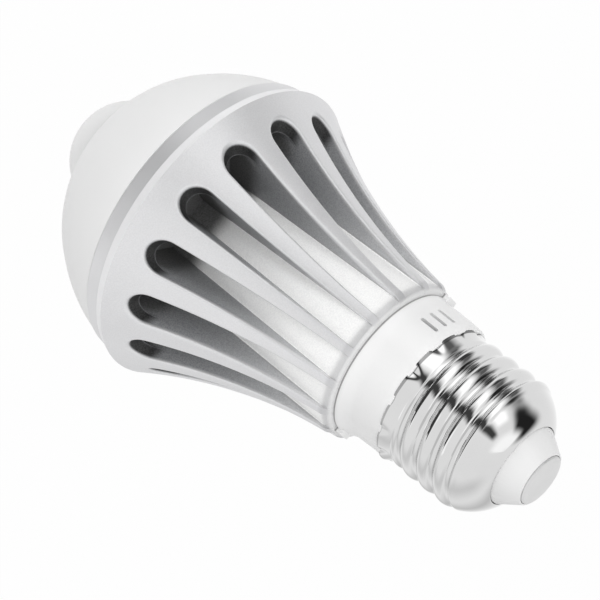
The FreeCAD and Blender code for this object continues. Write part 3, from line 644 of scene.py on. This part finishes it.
def add_head(bm):
    """The turned rim band, the plate's seat and the bore, spun round the lamp."""
    profile = [
        (rib_face(FLARE_END), FLARE_END), (29.55, 75.8), (29.05, 77.2), (28.9, 77.2),
        (28.5, 80.3), (27.3, 80.3), (27.3, 74.6), (12.9, 74.6), (12.9, FOOT_START),
    ]
    roundings = (0.2, 0.12, 0.08, 0.25, 0.15)
    start = math.radians(-90 - 180 / SLOT_COUNT)
    verts = [
        bm.verts.new((radius * math.cos(start) * MM, radius * math.sin(start) * MM, -height * MM))
        for radius, height in profile
    ]
    for pair in zip(verts, verts[1:]):
        bm.edges.new(pair)
    for vert, rounding in zip(verts[1:], roundings):
        round_corner(bm, vert, rounding, 3)
    edges = [edge for edge in bm.edges if edge.is_wire]
    ends = dict.fromkeys(vert for edge in edges for vert in edge.verts)
    bmesh.ops.spin(
        bm, geom=[*ends, *edges], cent=(0, 0, 0), axis=(0, 0, 1),
        angle=math.tau, steps=SLOT_COUNT * 10, use_merge=True,
    )


def make_heat_sink():
    """The casting, its slots' edges rounded: half a slot, mirrored and repeated, and the head."""
    bm = bmesh.new()
    mouth = slot_mouth()
    sides = len(SIDE_HEIGHTS)
    fitted_grid(bm, [slot_section(point, index - sides) for index, point in enumerate(mouth)])
    pocket = [pocket_level(mouth[sides + tip][1], tip) for tip in range(FIRST_TIPS + 1)]
    fitted_grid(bm, [floor_section(height) for height in SIDE_HEIGHTS + pocket])
    bmesh.ops.mirror(bm, geom=bm.verts[:] + bm.edges[:] + bm.faces[:], axis="X", merge_dist=1e-7)
    bmesh.ops.remove_doubles(bm, verts=bm.verts, dist=5e-7)
    bmesh.ops.spin(
        bm, geom=bm.verts[:] + bm.edges[:] + bm.faces[:], cent=(0, 0, 0), axis=(0, 0, 1),
        angle=math.tau * (SLOT_COUNT - 1) / SLOT_COUNT, steps=SLOT_COUNT - 1, use_duplicate=True,
    )
    add_head(bm)
    bmesh.ops.remove_doubles(bm, verts=bm.verts, dist=5e-7)
    open_edges = [edge for edge in bm.edges if edge.is_boundary]
    foot = [
        edge for edge in open_edges
        if all(abs(vert.co.z + FOOT_START * MM) < 1e-6 for vert in edge.verts)
    ]
    bmesh.ops.bridge_loops(bm, edges=foot)
    bmesh.ops.recalc_face_normals(bm, faces=bm.faces)
    piece = new_mesh("slotted_casting", bm, 40)
    weighted = piece.modifiers.new("even_normals", "WEIGHTED_NORMAL")
    weighted.keep_sharp = True
    stands_for(piece, "heat_sink", cast_metal())


def make_diffuser():
    """The opal dome, with the skirt inside the rim and the curved neck for the lens."""
    outline = [(25.75, 76.5), (27.15, 76.5), (27.15, 80.4), (28.25, 80.4, 0.15)]
    outline += arc((28.25, 80.4), (23.4, 92.0), 31.5, 1, 20)
    outline += arc((23.4, 92.0), (14.9, 100.52), 25.5, 1, 20)
    outline += bend((14.9, 100.52), (13.75, 101.22), (12.0, 101.35), (11.35, 102.45), 12)
    outline += [(11.35, 99.7), (13.15, 99.7)]
    outline += arc((13.15, 99.7), (22.0, 91.3), 24.1, -1, 12)
    outline += arc((22.0, 91.3), (25.75, 81.7), 30.1, -1, 12)
    bm = spun_bmesh(outline, 240)
    opal = moulded("opal_dome", (0.82, 0.82, 0.82), 0.42, spread=0.01)
    stands_for(new_mesh("opal_diffuser", bm), "diffuser", opal)


def make_lens():
    """The sensor's lens: a thin half ball on a flange that clips behind the diffuser's neck."""
    outline = [(10.4, 98.9), (13.0, 98.9), (13.0, 99.7), (11.2, 99.7), (11.2, 100.2)]
    outline += arc((11.2, 100.2), (0, 111.4), 11.2, 1, 40)
    outline += [(0, 110.6)]
    outline += arc((0, 110.6), (10.4, 100.2), 10.4, -1, 24)
    bm = spun_bmesh(outline, 192)
    milky = moulded("milky_lens", (0.82, 0.82, 0.82), 0.38, spread=0.01)
    stands_for(new_mesh("sensor_lens", bm), "pir_lens", milky)


def dress_inner_pieces():
    """Materials for the CAD nodes inside the lamp, which stay as they are."""
    board = moulded("laminate_green", (0.05, 0.22, 0.10), 0.35)
    black = moulded("moulded_black", (0.02, 0.02, 0.02), 0.45)
    white = moulded("moulded_white", (0.80, 0.80, 0.79), 0.45)
    finishes = {
        "led_plate": plain_metal("turned_plate", (0.72, 0.72, 0.73), 0.35),
        "thermal_pad": moulded("soft_pad", (0.30, 0.32, 0.34), 0.8),
        "led_board": moulded("board_mask", (0.84, 0.84, 0.82), 0.35),
        "led_chips": moulded("phosphor", (0.86, 0.66, 0.14), 0.5),
        "board_screws": plain_metal("zinc_steel", (0.55, 0.55, 0.56), 0.3),
        "sensor_holder": white,
        "sensor_board": board,
        "pir_sensor": plain_metal("sensor_can", (0.62, 0.62, 0.63), 0.3),
        "pir_window": moulded("infrared_filter", (0.03, 0.02, 0.03), 0.1),
        "light_sensor": moulded("clear_epoxy", (0.70, 0.70, 0.66), 0.15),
        "driver_board": board,
        "bulk_capacitor": moulded("dark_sleeve", (0.02, 0.03, 0.05), 0.3),
        "film_capacitor": moulded("red_case", (0.45, 0.05, 0.03), 0.3),
        "bridge_rectifier": black,
        "choke": moulded("choke_sleeve", (0.03, 0.03, 0.03), 0.6),
        "driver_chip": black,
        "transformer": moulded("ferrite_block", (0.05, 0.05, 0.055), 0.5),
        "fuse_resistor": moulded("resistor_coat", (0.22, 0.36, 0.32), 0.4),
        "live_wire": moulded("wire_red", (0.45, 0.02, 0.01), 0.4),
        "neutral_wire": moulded("wire_white", (0.75, 0.75, 0.72), 0.4),
        "sensor_leads": moulded("wire_black", (0.02, 0.02, 0.02), 0.4),
        "led_leads": moulded("wire_brown", (0.30, 0.04, 0.02), 0.4),
    }
    for node, material in finishes.items():
        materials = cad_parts[node].data.materials
        materials.clear()
        materials.append(material)


# ---------------------------------------------------------------- studio


# The camera's place in metres, its turns about X, Y and Z in degrees and its lens in mm, found
# from the photograph.
CAMERA_PLACE = (0.016895, -0.380730, 0.135326)
CAMERA_TURNS = (-50.7884, -44.8855, 152.4672)
CAMERA_LENS = 146.48

LAMP_MIDDLE = (0, 0, -0.055)
FLOOR_HEIGHT = -0.30
FLOOR_SIZE = 8.0
FLOOR_WHITE = 0.96
# How bright the tent is as light. To the camera, and in metal and glass, it is white.
TENT_LEVEL = 0.82
# Screens and gaps in the tent: azimuth, elevation, half width, half height and soft edge in
# degrees, and brightness. Later ones cover earlier ones.
STUDIO_SCREENS = [
    (20, -10, 12, 60, 14, 0.78),
    (66, 0, 8, 60, 14, 0.62),
    (118, -18, 6, 10, 22, 1.18),
    (-82, -60, 66, 18, 5, 0.05),
    (-48, -33, 26, 4, 4, 1.35),
    (-168, -26, 15, 18, 8, 0.05),
    (-166, 8, 13, 20, 9, 0.13),
    (-174, 42, 16, 12, 12, 0.06),
    (168, 54, 30, 18, 10, 0.02),
    (-100, -5, 9, 62, 6, 0.06),
    (-130, 8, 13, 38, 6, 1.5),
    (-130, 78, 70, 12, 8, 1.3),
]
# Lamps: name, azimuth and elevation in degrees, distance and size in metres, and power.
STUDIO_LAMPS = [
    ("strip_lamp", -118, 0, 0.9, (0.32, 1.2), 1.2),
    ("top_lamp", -98, 46, 0.9, (0.5, 0.5), 2.7),
]


def add_camera():
    """The camera that took the photograph, as far as it could be worked out."""
    camera = bpy.data.cameras.new("photo_camera")
    camera.sensor_width = 36
    camera.lens = CAMERA_LENS
    camera.clip_start = 0.01
    holder = bpy.data.objects.new("photo_camera", camera)
    holder.location = CAMERA_PLACE
    holder.rotation_euler = [math.radians(turn) for turn in CAMERA_TURNS]
    bpy.context.scene.collection.objects.link(holder)
    bpy.context.scene.camera = holder


def add_floor():
    """A plain white floor that keeps the lamp's shadow. Metal shows the tent instead."""
    bm = bmesh.new()
    bmesh.ops.create_grid(bm, x_segments=1, y_segments=1, size=FLOOR_SIZE / 2)
    bmesh.ops.translate(bm, vec=(0, 0, FLOOR_HEIGHT), verts=bm.verts)
    floor = new_mesh("studio_floor", bm)
    floor.visible_glossy = False
    finish = Finish("studio_white", base_color=(0.92, 0.92, 0.92, 1), roughness=0.9)
    seen = finish.node("ShaderNodeLightPath", output="Is Camera Ray")
    white = finish.node("ShaderNodeEmission", None, {"Color": (1, 1, 1, 1), "Strength": 1.0})
    inputs = {0: seen * FLOOR_WHITE, 1: Signal(finish, finish.shader.outputs[0]), 2: white}
    mixed = finish.node("ShaderNodeMixShader", None, inputs)
    finish.tree.links.new(mixed.socket, finish.tree.nodes["Material Output"].inputs["Surface"])
    floor.data.materials.append(finish.material)


def add_world():
    """A pale tent, with the gaps and bright screens that plated metal shows."""
    world = bpy.data.worlds.new("studio")
    bpy.context.scene.world = world
    world.use_nodes = True
    tent = Nodes(world.node_tree)
    x, y, z = tent.parts_of(tent.node("ShaderNodeTexCoord", output="Generated"))
    elevation = z.math("ARCSINE", z) * (180 / math.pi)
    camera, glossy, transmission = (
        tent.node("ShaderNodeLightPath", output=f"Is {kind} Ray")
        for kind in ("Camera", "Glossy", "Transmission")
    )
    shown = camera.math("MINIMUM", camera + glossy + transmission, 1.0)
    level = shown * (1 - TENT_LEVEL) + TENT_LEVEL
    for azimuth, middle, half_width, half_height, soft, brightness in STUDIO_SCREENS:
        side, ahead = math.sin(math.radians(azimuth)), math.cos(math.radians(azimuth))
        turn = x.math("ARCTAN2", y * ahead - x * side, x * ahead + y * side) * (180 / math.pi)
        across = turn.math("ABSOLUTE", turn).within(half_width + soft, half_width - soft)
        offset = elevation - middle
        along = offset.math("ABSOLUTE", offset).within(half_height + soft, half_height - soft)
        cover = across * along * (1 - camera)
        level = level * (1 - cover) + cover * brightness
    background = world.node_tree.nodes["Background"]
    background.inputs["Color"].default_value = (1, 1, 1, 1)
    world.node_tree.links.new(level.socket, background.inputs["Strength"])


def add_lamp(name, azimuth, elevation, distance, size, power):
    """A soft rectangular lamp that faces the middle of the object."""
    turn, rise = math.radians(azimuth), math.radians(elevation)
    level = math.cos(rise)
    away = Vector((level * math.cos(turn), level * math.sin(turn), math.sin(rise)))
    light = bpy.data.lights.new(name, "AREA")
    light.shape = "RECTANGLE"
    light.size, light.size_y = size
    light.energy = power
    holder = bpy.data.objects.new(name, light)
    holder.location = Vector(LAMP_MIDDLE) + away * distance
    holder.rotation_euler = away.to_track_quat("Z", "Y").to_euler()
    holder.visible_glossy = False
    bpy.context.scene.collection.objects.link(holder)


make_contact()
make_insulator()
make_shell()
make_housing()
make_heat_sink()
make_diffuser()
make_lens()
dress_inner_pieces()
add_floor()
add_world()
for lamp in STUDIO_LAMPS:
    add_lamp(*lamp)
add_camera()

scene = bpy.context.scene
scene.view_settings.view_transform = "Standard"
